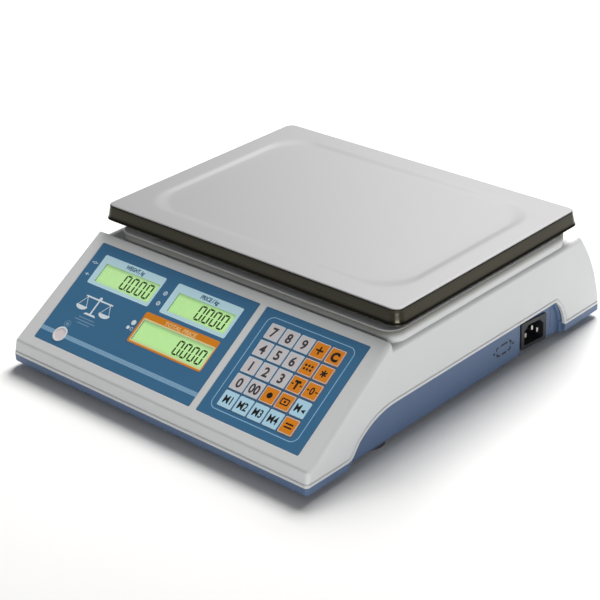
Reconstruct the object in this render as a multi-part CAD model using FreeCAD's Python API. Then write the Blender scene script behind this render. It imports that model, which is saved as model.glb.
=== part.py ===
import FreeCAD, Part
import os, math
from FreeCAD import Vector as V

# Counting scale: ABS wedge case (light grey upper, slate blue lower), stainless
# weighing pan on a single-point load cell, sloped front panel with three liquid
# crystal windows and a 25-key keypad, mains inlet in the right side.
# Units are millimetres. +X is the operator's right, +Y is the rear, +Z is up.
# The origin is on the supporting surface, under the middle of the case.

# ---------------------------------------------------------------- driving sizes
CASE_HALF_W = 160.0          # half width of the case at the parting line
Y_FRONT, Y_REAR = -182.0, 184.8
Y_CENTRE = 0.5 * (Y_FRONT + Y_REAR)   # moved to the origin when the parts are written
Z_BASE = 5.0                 # underside of the lower case
Z_PART = 11.7                # parting line between lower and upper case
Z_DECK = 80.8                # flat deck, lower than the crest of the front panel
Z_PLINTH = 90.8              # raised plinth under the pan
WALL = 2.8                   # case wall
FLOOR = 2.5                  # lower case floor
DRAFT = 2.7                  # side wall draft, degrees
R_CORNER = 3.5               # upright corners
R_EDGE = 3.4                 # side edges of the front panel
R_DECK = 4.6                 # side and rear edges of the deck
FOLD = (-179.3, 23.7)        # front lip to panel fold (y, z)
PANEL_TOP = (-82.8, 86.5)    # crest of the panel (y, z)
Y_CREST = -81.9              # back face of the crest
REAR_C, REAR_R = (55.6, 2.96), 129.5   # convex rear wall: circle in the YZ plane
SEAM_LO, SEAM_HI, SEAM_DEEP = 2.5, 3.2, 0.5   # groove above the lower edge of the upper case

PLINTH = (-138.0, 154.5, -79.8, 145.2, 14.0)
PAN_TOP = (-155.0, 155.0, -74.2, 152.1)
PAN_SKIRT = 2.5              # skirt flare per side
Z_PAN, Z_SKIRT = 107.4, 94.8
PAN_T = 1.2
PAN_R = 7.0
DISH = (-131.6, 131.6, -51.2, 130.5, 33.0, 1.0)
PAN_CY = 38.95

RECESS_X = 154.0             # recessed side panel of the lower case
POCKET_Y0, POCKET_Y1, POCKET_D = 79.4, 127.0, 4.8

PANEL_O = V(0, -172.1, 28.4) # lower edge of the two overlays, on the panel plane
PANEL_A = math.atan2(PANEL_TOP[1] - FOLD[1], PANEL_TOP[0] - FOLD[0])
OVER_T, OVER_SUNK = 0.6, 0.1
DISPLAY_U, KEYPAD_U = (-143.3, 33.6), (40.8, 143.2)
OVER_V = (0.0, 97.3)

KEY_W, KEY_H = 13.7, 13.8
KEY_U0, KEY_PU = 54.4, 15.1  # left edge of the first column, column pitch
KEY_V0, KEY_PV = 72.8, 15.6  # lower edge of the top row, row pitch (downwards)
KEY_TRAVEL = 0.5
KEY_GAP = 0.25

# liquid crystal windows: u0, u1, v0, v1 of the visible glass
LCD = {"lcd_weight": (-125.4, -63.1, 63.4, 81.2),
       "lcd_price": (-41.3, 20.3, 63.4, 81.2),
       "lcd_total": (-54.9, 21.0, 30.5, 49.7)}
SEAL = (-121.2, 10.8, 6.75)  # u, v, radius of the seal cup

FEET = {"front_left": (-139.0, -91.5), "front_right": (139.0, -91.5),
        "rear_left": (-134.0, 138.0), "rear_right": (134.0, 138.0)}
POSTS = [(sx * 118.0, PAN_CY + sy * 75.0) for sx in (-1, 1) for sy in (-1, 1)]
SCREWS = [(-146, -160), (146, -160), (-144, 0), (144, 0), (-140, 170), (140, 170)]

INLET = (21.4, 17.0)         # distance along the pocket wall, height of the inlet's centre

# ---------------------------------------------------------------- helpers
def box(x0, x1, y0, y1, z0, z1):
    return Part.makeBox(x1 - x0, y1 - y0, z1 - z0, V(x0, y0, z0))

def cyl(x, y, z0, z1, r):
    return Part.makeCylinder(r, z1 - z0, V(x, y, z0), V(0, 0, 1))

def rounded(pts, closed=True):
    """Wire through points (x, y, z, fillet radius); all in one plane."""
    n = len(pts)
    P = [V(p[0], p[1], p[2]) for p in pts]
    R = [p[3] for p in pts]
    ends = []
    for i in range(n):
        if R[i] < 0.02 or (not closed and i in (0, n - 1)):
            ends.append((P[i], None, P[i])); continue
        a = (P[i - 1] - P[i]); b = (P[(i + 1) % n] - P[i])
        a.normalize(); b.normalize()
        ang = a.getAngle(b)
        t = R[i] / math.tan(ang / 2)
        bis = a + b; bis.normalize()
        c = P[i] + bis * (R[i] / math.sin(ang / 2))
        ends.append((P[i] + a * t, c - bis * R[i], P[i] + b * t))
    edges = []
    for i in range(n):
        s, m, e = ends[i]
        if m is not None:
            edges.append(Part.Arc(s, m, e).toShape())
        if i == n - 1 and not closed:
            break
        nx = ends[(i + 1) % n][0]
        if (nx - e).Length > 1e-6:
            edges.append(Part.LineSegment(e, nx).toShape())
    return Part.Wire(edges)

def rrect_wire(x0, x1, y0, y1, r, z):
    return rounded([(x0, y0, z, r), (x1, y0, z, r), (x1, y1, z, r), (x0, y1, z, r)])

def rprism(x0, x1, y0, y1, r, z0, z1):
    return Part.Face(rrect_wire(x0, x1, y0, y1, r, z0)).extrude(V(0, 0, z1 - z0))

def plan_prism(pts, z0, z1):
    return Part.Face(rounded([(p[0], p[1], z0, p[2] if len(p) > 2 else 0) for p in pts])).extrude(V(0, 0, z1 - z0))

def side_prism(pts, x0, x1):
    """Prism along X of a (y, z[, r]) polygon."""
    return Part.Face(rounded([(x0, p[0], p[1], p[2] if len(p) > 2 else 0) for p in pts])).extrude(V(x1 - x0, 0, 0))

def one(s):
    s = s.removeSplitter()
    return s.Solids[0] if len(s.Solids) == 1 else s

def check(name, s):
    print("%-20s solids %2d valid %s vol %.0f" % (name, len(s.Solids), s.isValid(), s.Volume))

NODES = {}
def keep(name, s):
    NODES[name] = s

# panel frame: u to the right, v up the slope, w outwards
CA, SA = math.cos(PANEL_A), math.sin(PANEL_A)
def on_panel(s):
    m = FreeCAD.Matrix(1, 0, 0, PANEL_O.x,
                       0, CA, -SA, PANEL_O.y,
                       0, SA, CA, PANEL_O.z,
                       0, 0, 0, 1)
    s = s.copy(); s.transformShape(m); return s
def pbox(u0, u1, v0, v1, w0, w1, r=0.0):
    s = rprism(u0, u1, v0, v1, r, w0, w1) if r > 0 else box(u0, u1, v0, v1, w0, w1)
    return on_panel(s)

# ---------------------------------------------------------------- case body
def meet(p, d, q, e):
    det = d[0] * e[1] - d[1] * e[0]
    t = ((q[0] - p[0]) * e[1] - (q[1] - p[1]) * e[0]) / det
    return (p[0] + d[0] * t, p[1] + d[1] * t)

def case_body(t, zb, r_corner, r_edge, part="all"):
    """Wedge body, every wall moved inwards by t, cut off at height zb.
    part: "all" for the plain wedge, "front" for the panel block up to the crest,
    "rear" for the deck block behind it."""
    fp = (Y_FRONT, Z_PART); fd = (FOLD[0] - Y_FRONT, FOLD[1] - Z_PART)
    fl = math.hypot(*fd); fo = (fp[0] + fd[1] / fl * t, fp[1] - fd[0] / fl * t)
    sd = (PANEL_TOP[0] - FOLD[0], PANEL_TOP[1] - FOLD[1]); sl = math.hypot(*sd)
    so = (FOLD[0] + sd[1] / sl * t, FOLD[1] - sd[0] / sl * t)
    zt = Z_DECK - t; R = REAR_R - t
    a = meet(fo, fd, (0, zb), (1, 0)); b = meet(fo, fd, so, sd); c = meet(so, sd, (0, zt), (1, 0))
    yr = lambda z: REAR_C[0] + math.sqrt(R * R - (z - REAR_C[1]) ** 2)
    d = (yr(zt), zt); e = (yr(zb), zb); zm = 0.5 * (zt + zb); m = (yr(zm), zm)
    X = -200.0
    P = lambda q: V(X, q[0], q[1])
    L = lambda p, q: Part.LineSegment(P(p), P(q)).toShape()
    arc = Part.Arc(P(d), P(m), P(e)).toShape()
    if part == "front":
        q = [a, b, PANEL_TOP, (Y_CREST, Z_DECK - 1.5), (Y_CREST, zb)]
        w = Part.Wire([L(q[i], q[(i + 1) % 5]) for i in range(5)])
    elif part == "rear":
        q = (-88.0, zb)
        w = Part.Wire([L(q, (-88.0, zt)), L((-88.0, zt), d), arc, L(e, q)])
    else:
        w = Part.Wire([L(a, b), L(b, c), L(c, d), arc, L(e, a)])
    body = Part.Face(w).extrude(V(400, 0, 0))
    hw = lambda z: CASE_HALF_W - t - (z - Z_PART) * math.tan(math.radians(DRAFT))
    z1 = 120.0
    tw = Part.makePolygon([V(-hw(zb), -250, zb), V(hw(zb), -250, zb), V(hw(z1), -250, z1), V(-hw(z1), -250, z1), V(-hw(zb), -250, zb)])
    body = body.common(Part.Face(tw).extrude(V(0, 500, 0)))
    def pick(f):
        out = []
        for ed in body.Edges:
            c = ed.CenterOfMass; bb = ed.BoundBox
            if f(c, bb): out.append(ed)
        return out
    if part == "front":
        # panel side edges, fold and upright front corners share one radius, then the crest
        top = pick(lambda c, bb: (bb.YLength > 60 and bb.ZLength > 40 and c.y < -100) or (bb.XLength > 200 and abs(c.z - FOLD[1]) < 1)
                   or (abs(c.x) > 140 and 5 < bb.ZLength < 20 and c.y < -165))
        body = body.makeFillet(r_edge, top)
        return body.makeFillet(0.8, pick(lambda c, bb: bb.XLength > 200 and c.z > PANEL_TOP[1] - 0.5))
    if r_corner > 0:
        up = pick(lambda c, bb: abs(c.x) > 140 and bb.ZLength > 5 and bb.XLength < 8 and (c.y < -165 or c.y > 150) and bb.YLength < 60)
        body = body.makeFillet(r_corner, up)
    if r_edge > 0:
        top = pick(lambda c, bb: bb.ZMin > Z_DECK - 0.5 and (bb.YLength > 60 or c.y > 100))
        body = body.makeFillet(r_edge, top)
    return body

outer_f = case_body(0, Z_PART, R_CORNER, R_EDGE, "front")
outer_r = case_body(0, Z_PART, R_CORNER, R_DECK, "rear")
check("front block", outer_f); check("rear block", outer_r)
outer = outer_f.fuse(outer_r).removeSplitter()
inner = case_body(WALL, 0.0, R_CORNER - WALL, 0)
check("outer", outer); check("inner", inner)

# lower edge of the upper case in side view, front to rear (y, z, fillet)
EDGE = [(-200, Z_PART, 0), (-133.4, Z_PART, 8), (-123.8, 22.5, 12), (-103.5, 36.9, 68),
        (123.0, 36.5, 2.0), (132.9, 25.2, 36), (134.4, Z_PART, 1.2), (200, Z_PART, 0)]
def offset_edge(d):
    n = len(EDGE); out = []
    L = []
    for i in range(n - 1):
        a, b = EDGE[i], EDGE[i + 1]
        dx, dz = b[0] - a[0], b[1] - a[1]; l = math.hypot(dx, dz)
        L.append(((a[0] - dz / l * d, a[1] + dx / l * d), (dx, dz)))
    for i in range(n):
        if i == 0: out.append((EDGE[0][0], EDGE[0][1] + d, 0)); continue
        if i == n - 1: out.append((EDGE[i][0], EDGE[i][1] + d, 0)); continue
        p = meet(L[i - 1][0], L[i - 1][1], L[i][0], L[i][1])
        turn = L[i - 1][1][0] * L[i][1][1] - L[i - 1][1][1] * L[i][1][0]
        r = EDGE[i][2] + (-d if turn > 0 else d)
        out.append((p[0], p[1], max(r, 0)))
    return out

arch = side_prism(EDGE + [(200, -30), (-200, -30)], -200, 200)
lo, hi = offset_edge(SEAM_LO), offset_edge(SEAM_HI)
band = side_prism(hi + [(200, -30), (-200, -30)], -200, 200).cut(side_prism(lo + [(200, -31), (-200, -31)], -201, 201))
skin = outer.cut(case_body(SEAM_DEEP, Z_PART - 1, R_CORNER - SEAM_DEEP, 0))
groove = skin.common(band)
# eased shoulder below the groove
lo2 = offset_edge(SEAM_LO - 0.5)
band2 = side_prism(lo + [(200, -30), (-200, -30)], -200, 200).cut(side_prism(lo2 + [(200, -31), (-200, -31)], -201, 201))
ease = outer.cut(case_body(0.2, Z_PART - 1, R_CORNER - 0.2, 0)).common(band2)
check("groove", groove); check("ease", ease)

pl = rprism(PLINTH[0], PLINTH[1], PLINTH[2], PLINTH[3], PLINTH[4], 78.3, Z_PLINTH)
pl = pl.makeFillet(1.4, [e for e in pl.Edges if e.BoundBox.ZMin > Z_PLINTH - 0.1])
pl_in = rprism(PLINTH[0] + WALL, PLINTH[1] - WALL, PLINTH[2] + WALL, PLINTH[3] - WALL, PLINTH[4] - WALL, 74.0, Z_PLINTH - WALL)
pl_in = pl_in.cut(box(-200, 200, -200, PLINTH[2] + WALL + 1.2, 0, 120))
hollow = inner.fuse(pl_in)
upper = outer.fuse(pl).cut(hollow)
# screw pillars reach down from the roof to the lower case
pillars = [cyl(x, y, Z_PART + 0.3, 100, 4.5).common(hollow) for x, y in SCREWS]
upper = upper.fuse(pillars)
cuts = [arch, groove, ease]
cuts += [cyl(x, y, 0, 27, 1.75) for x, y in SCREWS]
cuts += [cyl(x, y, 80, 100, 11.0) for x, y in POSTS]
for u0, u1 in (DISPLAY_U, KEYPAD_U):
    cuts.append(pbox(u0 - 0.15, u1 + 0.15, OVER_V[0] - 0.15, OVER_V[1] + 0.15, -OVER_T - OVER_SUNK, 6, 1.2))
for u0, u1, v0, v1 in LCD.values():
    cuts.append(pbox(u0 - 3.2, u1 + 3.2, v0 - 3.2, v1 + 3.2, -12, 6))
KU1 = KEY_U0 + 4 * KEY_PU + KEY_W; KV1 = KEY_V0 + KEY_H; KV0 = KEY_V0 - 4 * KEY_PV
cuts.append(pbox(KEY_U0 - 1.2, KU1 + 1.2, KV0 - 1.2, KV1 + 1.2, -12, 6))
cuts.append(on_panel(cyl(SEAL[0], SEAL[1], -12, 6, SEAL[2] - 1.0)))
LEVEL = (-72.0, -58.0)
cuts.append(cyl(LEVEL[0], LEVEL[1], 80, 100, 7.9))
upper = upper.cut(cuts)
keep("upper_case", one(upper))

# ---------------------------------------------------------------- lower case
low = rprism(-CASE_HALF_W, CASE_HALF_W, Y_FRONT, Y_REAR, R_CORNER, Z_BASE, Z_PART)
low = low.makeFillet(1.6, [e for e in low.Edges if e.BoundBox.ZMax < Z_BASE + 0.1])
cav = rprism(-CASE_HALF_W + WALL, CASE_HALF_W - WALL, Y_FRONT + WALL, Y_REAR - WALL, R_CORNER - WALL, Z_BASE + FLOOR, 60)
low = low.cut(cav)
WX = RECESS_X - WALL
pd = POCKET_D
wall_r = plan_prism([(RECESS_X, -152), (RECESS_X, POCKET_Y0), (RECESS_X - pd, POCKET_Y0), (RECESS_X - POCKET_D * (POCKET_Y1 - 122) / (POCKET_Y1 - POCKET_Y0), 122), (156.9, 122), (156.9, 141), (154.0, 141),
                     (WX, 131), (WX, POCKET_Y1 - 1.0), (WX - pd, POCKET_Y0 + 1.0), (WX - pd, POCKET_Y0 - WALL), (WX, POCKET_Y0 - WALL), (WX, -152)], Z_BASE, 42)
wall_l = plan_prism([(-RECESS_X, -152), (-RECESS_X, 122), (-156.9, 122), (-156.9, 141), (-154.0, 141), (-WX, 131), (-WX, -152)], Z_BASE, 42)
bosses = []
for x, y in SCREWS:
    bosses.append(cyl(x, y, Z_BASE + 1, Z_PART + 0.3, 5.5))
for x, y in FEET.values():
    bosses.append(cyl(x, y, Z_BASE + 0.5, 13.0, 17.0)); bosses.append(cyl(x, y, 12.0, 27.0, 8.0))
bosses.append(box(-84, -24, 11, 67, Z_BASE + 1, 10.5))          # load cell seat
BOARD = (-20.0, 112.0, -76.0, 5.0, 20.0)
for x, y in ((-15, -71), (107, -71), (-15, 0), (107, 0)):
    bosses.append(cyl(x, y, Z_BASE + 1, BOARD[4], 3.5))
# battery cradle walls
BATT = (-112.0, -12.0, 80.0, 150.0, 8.0, 55.0)
bosses.append(box(BATT[0] - 4, BATT[1] + 4, BATT[2] - 4, BATT[3] + 4, Z_BASE + 1, 16).cut(box(BATT[0] - 1.5, BATT[1] + 1.5, BATT[2] - 1.5, BATT[3] + 1.5, 0, 30)))
bosses.append(box(28, 97, 83, 147, Z_BASE + 1, 10.0))           # transformer seat
lower = low.fuse([wall_r, wall_l] + bosses)
notch_r = plan_prism([(RECESS_X, -128), (175, -128), (175, 134.4), (156.9, 134.4), (156.9, 130.9), (RECESS_X, POCKET_Y1), (RECESS_X - pd, POCKET_Y0), (RECESS_X, POCKET_Y0)], -5, Z_PART)
notch_l = plan_prism([(-RECESS_X, -128), (-175, -128), (-175, 134.4), (-156.9, 134.4), (-156.9, 130.9), (-RECESS_X, POCKET_Y1 + 0.5)], -5, Z_PART)
rcurve = [(-146.5, -5), (-133.4, Z_PART), (-132.6, 60), (113, 60), (113, 40, 6), (122, 36.6, 3), (129.5, 22, 20), (130.9, 11.7), (130.9, -5)]
rec_r = side_prism(rcurve, RECESS_X, 175)
rec_l = side_prism(rcurve, -175, -RECESS_X)
cuts = [notch_r, notch_l, rec_r, rec_l]
for x, y in SCREWS:
    cuts += [cyl(x, y, 0, 20, 1.75), cyl(x, y, 0, Z_BASE + 2.4, 3.8)]
for x, y in FEET.values():
    cuts += [cyl(x, y, 0, 10.5, 13.9), cyl(x, y, 9, 30, 4.3)]
for x in (-64, -42):
    cuts += [cyl(x, PAN_CY, 0, 12, 3.2), cyl(x, PAN_CY, 0, 8.0, 5.6)]
for x, y in ((-15, -71), (107, -71), (-15, 0), (107, 0)):
    cuts.append(cyl(x, y, 12, 25, 1.3))
# battery opening with a stepped rim, and the screw boss of its door
cuts.append(box(BATT[0] - 1.5, BATT[1] + 1.5, BATT[2] - 1.5, BATT[3] + 1.5, 0, 16))
# switch opening
SW = (70.0, -140.0)
cuts.append(box(SW[0] - 9.8, SW[0] + 9.8, SW[1] - 6.9, SW[1] + 6.9, 0, 12))
# cooling slots in the floor
for i in range(7):
    cuts.append(rprism(30 + i * 8, 33 + i * 8, -40, -12, 1.4, 0, 9))
    cuts.append(rprism(-110 + i * 8, -107 + i * 8, -40, -12, 1.4, 0, 9))
# moulded outline of a serial connector knock-out, with its two screw marks
KY, KZ = 58.0, 19.8
def dshape(g, x0, x1):
    a, b, h = 9.9 + g, 8.4 + g, 4.15 + g
    return side_prism([(KY - a, KZ + h, 2.4 + g), (KY + a, KZ + h, 2.4 + g), (KY + b, KZ - h, 2.4 + g), (KY - b, KZ - h, 2.4 + g)], x0, x1)
ring = dshape(0.0, RECESS_X - 0.7, RECESS_X + 1).cut(dshape(-0.85, RECESS_X - 2, RECESS_X + 2))
for yy, zz, dy, dz in ((KY - 5.2, KZ + 4, 0.9, 2), (KY + 6.2, KZ + 4, 0.9, 2), (KY - 3.5, KZ - 4, 0.9, 2), (KY + 4.5, KZ - 4, 0.9, 2), (KY - 9.5, KZ, 3, 0.6), (KY + 9.5, KZ - 0.5, 3, 0.6)):
    ring = ring.cut(box(RECESS_X - 2, RECESS_X + 2, yy - dy, yy + dy, zz - dz, zz + dz))
cuts.append(ring)
for s in (-1, 1):
    cuts.append(Part.makeCylinder(1.2, 3, V(RECESS_X - 0.7, KY + s * 12.5, KZ), V(1, 0, 0)))
# inlet cut-out, square to the slanting pocket wall
PA = math.atan2(POCKET_D, POCKET_Y1 - POCKET_Y0)
def at_inlet(s):
    """Local frame: a along the wall to the rear, n outwards, z up."""
    dx, dy = math.sin(PA), math.cos(PA)
    ox = RECESS_X - POCKET_D + dx * INLET[0]; oy = POCKET_Y0 + dy * INLET[0]
    # local x -> outward normal, local y -> along the wall
    m = FreeCAD.Matrix(math.cos(PA), dx, 0, ox, -math.sin(PA), dy, 0, oy, 0, 0, 1, INLET[1], 0, 0, 0, 1)
    s = s.copy(); s.transformShape(m); return s
cuts.append(at_inlet(box(-8, 3, -13.6, 13.6, -10.6, 10.6)))
cuts.append(at_inlet(box(-24.6, -7, -13.7, 13.7, -10.7, 10.7)))
# clearance to the sloping walls of the upper case
for sx in (-1, 1):
    for x0, x1, y0, y1, z0, z1 in ((155.9, 161, 120, 146, 15.0, 45.0), (155.5, 161, 120, 146, 34.0, 45.0), (150.0, 161, -153, -145.0, 37.0, 45.0), (153.0, 161, -153, 80, 40.5, 45.0)):
        cuts.append(box(min(sx * x0, sx * x1), max(sx * x0, sx * x1), y0, y1, z0, z1))
lower = lower.cut(cuts)
keep("lower_case", one(lower))

# ---------------------------------------------------------------- front panel
def overlay(u, holes):
    s = pbox(u[0], u[1], OVER_V[0], OVER_V[1], -OVER_T - OVER_SUNK, -OVER_SUNK, 1.0)
    return one(s.cut(holes))
holes = [pbox(a, b, c, d, -3, 3) for a, b, c, d in LCD.values()]
holes.append(on_panel(cyl(SEAL[0], SEAL[1], -3, 3, SEAL[2] + 0.1)))
keep("display_overlay", overlay(DISPLAY_U, holes))
key_names = [["key_7", "key_8", "key_9", "key_add", "key_clear"],
             ["key_4", "key_5", "key_6", "key_count", "key_multiply"],
             ["key_1", "key_2", "key_3", "key_tare", "key_zero"],
             ["key_0", "key_00", "key_point", "key_change", "key_preset"],
             ["key_memory_1", "key_memory_2", "key_memory_3", "key_memory_4", "key_unit"]]
holes = []
for r, row in enumerate(key_names):
    for c, name in enumerate(row):
        u = KEY_U0 + c * KEY_PU; v = KEY_V0 - r * KEY_PV
        holes.append(pbox(u - KEY_GAP, u + KEY_W + KEY_GAP, v - KEY_GAP, v + KEY_H + KEY_GAP, -3, 3, 1.0))
        k = rprism(u, u + KEY_W, v, v + KEY_H, 0.9, -1.9, 0.2)
        k = k.makeFillet(0.22, [e for e in k.Edges if e.BoundBox.ZMin > 0.19])
        k = k.fuse(cyl(u + KEY_W / 2, v + KEY_H / 2, -2.2, -1.5, 2.5))
        keep(name, one(on_panel(k)))
keep("keypad_overlay", overlay(KEYPAD_U, holes))
keep("keypad_circuit", pbox(KEYPAD_U[0] + 2.5, KEYPAD_U[1] - 2.5, 2.0, 94.0, -WALL - 1.7, -WALL - 0.1, 1.5))
for name, (u0, u1, v0, v1) in LCD.items():
    keep(name, pbox(u0 - 2.8, u1 + 2.8, v0 - 2.8, v1 + 2.8, -4.6, -0.9))
db = pbox(-134, 30, 22, 91, -6.2, -4.6, 1.0)
chips = [pbox(-100, -86, 34, 44, -8.4, -6.2), pbox(-30, -10, 34, 42, -8.0, -6.2), pbox(10, 22, 56, 76, -9.5, -6.2)]
keep("display_board", one(db.fuse(chips)))
sc = on_panel(cyl(SEAL[0], SEAL[1], -OVER_T - OVER_SUNK, 0.35, SEAL[2]).fuse(cyl(SEAL[0], SEAL[1], -4.0, -0.5, SEAL[2] - 1.3)).cut(cyl(SEAL[0], SEAL[1], 0.0, 2, SEAL[2] - 1.5)))
keep("seal_cup", one(sc))

# ---------------------------------------------------------------- inside
mb = box(BOARD[0], BOARD[1], BOARD[2], BOARD[3], BOARD[4], BOARD[4] + 1.6)
mb = mb.cut([cyl(x, y, 10, 30, 1.6) for x, y in ((-15, -71), (107, -71), (-15, 0), (107, 0))])
zb = BOARD[4] + 1.6
mb = mb.fuse([box(10, 30, -50, -30, zb, zb + 2.4), box(50, 62, -52, -40, zb, zb + 1.8), box(80, 100, -66, -56, zb, zb + 9),
              box(-12, -4, -50, -20, zb, zb + 8), box(40, 66, -14, -6, zb, zb + 8), cyl(90, -30, zb, zb + 14, 5), cyl(76, -30, zb, zb + 12, 4), cyl(90, -12, zb, zb + 12, 4)])
keep("main_board", one(mb))

CELL_Z = 15.5
plate = box(-82, -28, 14, 64, 10.5, CELL_Z).cut([cyl(x, PAN_CY, 0, 30, 3.1) for x in (-64, -42)])
keep("load_cell_base", plate)
cell = box(-75, 75, PAN_CY - 12.5, PAN_CY + 12.5, CELL_Z, CELL_Z + 40)
cz = CELL_Z + 20
cell = cell.cut([Part.makeCylinder(14, 60, V(-15, PAN_CY - 30, cz), V(0, 1, 0)), Part.makeCylinder(14, 60, V(15, PAN_CY - 30, cz), V(0, 1, 0)),
                 box(-15, 15, PAN_CY - 30, PAN_CY + 30, cz - 6, cz + 6)] +
                [cyl(x, PAN_CY, 10, 29, 3.0) for x in (-64, -42)] + [cyl(x, PAN_CY, 43, 70, 3.2) for x in (42, 64)])
keep("load_cell", one(cell))
def screw(x, y, z_head, d_head, h_head, z_end, d):
    """Pan-head screw; the head starts at z_head and points away from z_end."""
    up = z_end > z_head
    a = cyl(x, y, min(z_head, z_end), max(z_head, z_end), d / 2)
    z0, z1 = (z_head - h_head, z_head) if up else (z_head, z_head + h_head)
    h = cyl(x, y, z0, z1, d_head / 2)
    f = z0 if up else z1
    h = h.cut([box(x - d_head * 0.32, x + d_head * 0.32, y - 0.5, y + 0.5, f - 1.0, f + 1.0), box(x - 0.5, x + 0.5, y - d_head * 0.32, y + d_head * 0.32, f - 1.0, f + 1.0)])
    return one(h.fuse(a))
keep("cell_base_screws", Part.makeCompound([screw(x, PAN_CY, 8.0, 10, 2.9, 27, 6.0) for x in (-64, -42)]))
keep("cell_top_screws", Part.makeCompound([screw(x, PAN_CY, 61.6, 10, 4.0, 45, 6.0) for x in (42, 64)]))
SP_Z = 58.6
sp = box(-30, 82, PAN_CY - 26, PAN_CY + 26, SP_Z, SP_Z + 3)
for x, y in POSTS:
    a = math.atan2(y - PAN_CY, x)
    l = math.hypot(x, y - PAN_CY)
    arm = box(0, l, -12, 12, SP_Z, SP_Z + 3).fuse(cyl(l, 0, SP_Z, SP_Z + 3, 12))
    arm.rotate(V(0, 0, 0), V(0, 0, 1), math.degrees(a)); arm.translate(V(0, PAN_CY, 0))
    sp = sp.fuse(arm)
sp = sp.fuse(box(33, 76, PAN_CY - 12.5, PAN_CY + 12.5, CELL_Z + 40.1, SP_Z + 1))
sp = sp.cut([cyl(x, PAN_CY, 50, 80, 3.2) for x in (42, 64)])
keep("pan_spider", one(sp))
keep("pan_posts", Part.makeCompound([one(cyl(x, y, SP_Z + 3, 104.9, 7.0).fuse(cyl(x, y, SP_Z + 3, SP_Z + 9, 9.5))) for x, y in POSTS]))

bt = box(BATT[0], BATT[1], BATT[2], BATT[3], BATT[4], BATT[5] - 5)
bt = bt.fuse([box(BATT[0] + 2, BATT[1] - 2, BATT[2] + 2, BATT[3] - 2, BATT[5] - 5, BATT[5] - 3), box(BATT[0] + 8, BATT[0] + 14, 86, 92, 50, BATT[5]), box(BATT[0] + 8, BATT[0] + 14, 138, 144, 50, BATT[5])])
keep("battery", one(bt))
door = box(BATT[0] - 1.2, BATT[1] + 1.2, BATT[2] - 1.2, BATT[3] + 1.2, Z_BASE + 0.2, Z_BASE + 2.6)
door = door.cut([box(BATT[0] + 8 + i * 4, BATT[0] + 10 + i * 4, 100, 130, Z_BASE - 1, Z_BASE + 0.8) for i in range(6)])
keep("battery_door", one(door))
tr = box(32, 93, 92, 138, 10.0, 58.0 - 6).fuse([box(40, 85, 86, 144, 16, 46)])
tr = tr.fuse([box(29, 96, 96, 134, 10.0, 12.0)])
keep("transformer", one(tr))

# ---------------------------------------------------------------- mains inlet
fl = box(0.02, 1.62, -15, 15, -11.9, 11.9)
fl = fl.makeFillet(1.2, [e for e in fl.Edges if abs(e.BoundBox.XLength - 1.6) < 0.01 and e.BoundBox.YLength < 0.1])
shell = box(-24, 0.02, -13.3, 13.3, -10.3, 10.3)
cavp = [(-11.6, 8.6, 0), (-11.6, -8.6, 0)]
cavity = Part.Face(rounded([(-15, -11.6, -8.6, 1.0), (-15, 11.6, -8.6, 1.0), (-15, 11.6, 3.8, 0.6), (-15, 6.8, 8.6, 0.6), (-15, -6.8, 8.6, 0.6), (-15, -11.6, 3.8, 0.6)])).extrude(V(20, 0, 0))
inl = fl.fuse(shell).cut(cavity)
# lugs behind for the wires
keep("mains_inlet", one(at_inlet(inl)))
pins = []
for a, z in ((0, 3.0), (-7.0, -1.6), (7.0, -1.6)):
    p = box(-15, -0.6 + (0.6 if z > 0 else 0), a - 1.1, a + 1.1, z - 2.2, z + 2.2)
    xm = max(v.X for v in p.Vertexes)
    p = p.makeChamfer(0.5, [e for e in p.Edges if abs(e.CenterOfMass.x - xm) < 0.01 and e.BoundBox.XLength < 0.01])
    pins.append(at_inlet(p))
keep("inlet_pins", Part.makeCompound(pins))

# ---------------------------------------------------------------- switch
fr = box(SW[0] - 11.0, SW[0] + 11.0, SW[1] - 8.0, SW[1] + 8.0, Z_BASE - 1.4, Z_BASE)
fr = fr.fuse(box(SW[0] - 9.6, SW[0] + 9.6, SW[1] - 6.7, SW[1] + 6.7, Z_BASE, 20.0))
ROCK_Z = 8.4
fr = fr.cut([box(SW[0] - 8.5, SW[0] + 8.5, SW[1] - 5.6, SW[1] + 5.6, 0, 15.0), Part.makeCylinder(1.35, 20, V(SW[0], SW[1] - 10, ROCK_Z), V(0, 1, 0))])
keep("switch_frame", one(fr))
rk = Part.Face(rounded([(SW[0] - 7.3, SW[1] - 5.2, 10.6, 0.6), (SW[0] + 7.3, SW[1] - 5.2, 10.6, 0.6), (SW[0] + 7.3, SW[1] - 5.2, 3.2, 0.8), (SW[0], SW[1] - 5.2, 4.4, 6.0), (SW[0] - 7.3, SW[1] - 5.2, 3.2, 0.8)])).extrude(V(0, 10.4, 0))
rk = rk.fuse(Part.makeCylinder(1.2, 12.8, V(SW[0], SW[1] - 6.4, ROCK_Z), V(0, 1, 0)))   # pivot pins
rk.rotate(V(SW[0], SW[1], ROCK_Z), V(0, 1, 0), -8.0)
keep("power_rocker", one(rk))

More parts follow.
